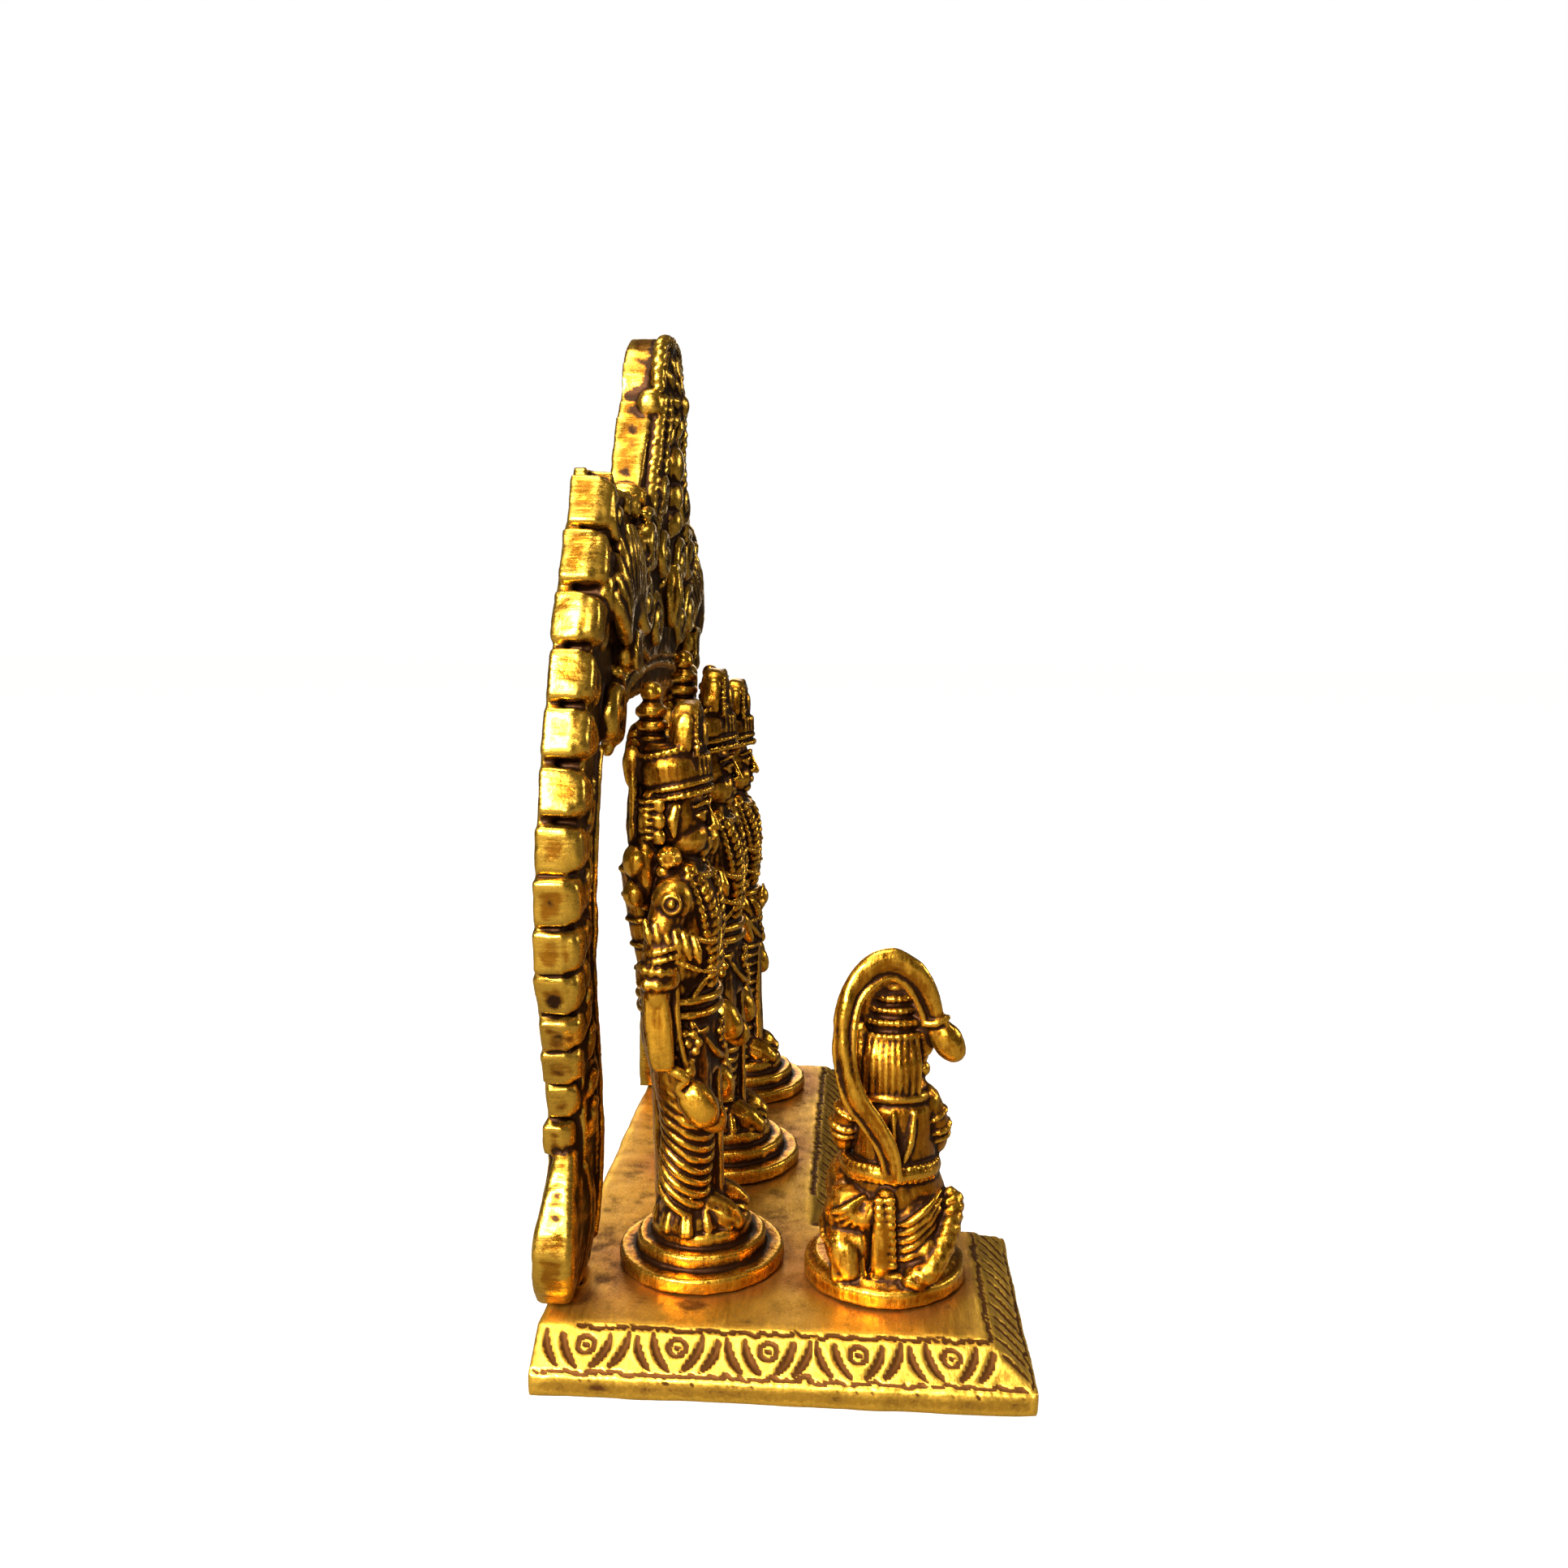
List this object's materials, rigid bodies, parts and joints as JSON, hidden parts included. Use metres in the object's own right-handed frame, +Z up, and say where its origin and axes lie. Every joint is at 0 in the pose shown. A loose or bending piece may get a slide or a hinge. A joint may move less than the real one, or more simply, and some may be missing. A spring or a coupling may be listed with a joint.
{
  "type": "brass deity group with arch",
  "caption": "Antiqued brass group of standing crowned figures and a kneeling attendant before a flame arch, on an L-shaped plate with a carved border.",
  "frame": {"origin": "middle of the bounding box, at the flat underside that rests on a table", "axes": "+Z up; the standing figures face -Y; their row and the base's long side run along X; the kneeling figure's corner is at -X, -Y"},
  "size_m": [0.12, 0.0694, 0.15],
  "materials": {
    "plate_brass": "cast, hand filed and brushed, dark patina in the carved grooves",
    "arch_brass": "cast, filed edges worn bright, brown-black patina in the relief",
    "figure_brass": "cast, worn bright on high spots, brown-black patina in the recesses",
    "steel": "plain zinc-plated machine screws and washers"
  },
  "bodies": {
    "root": {"base_plate": "plate_brass", "arch": "arch_brass", "near_figure": "figure_brass", "centre_figure": "figure_brass", "far_figure": "figure_brass", "kneeling_figure": "figure_brass", "near_figure_screw": "steel", "centre_figure_screw": "steel", "far_figure_screw": "steel", "kneeling_figure_screw": "steel", "arch_near_foot_screw": "steel", "arch_far_foot_screw": "steel", "near_figure_washer": "steel", "centre_figure_washer": "steel", "far_figure_washer": "steel", "kneeling_figure_washer": "steel"}
  },
  "joints": []
}
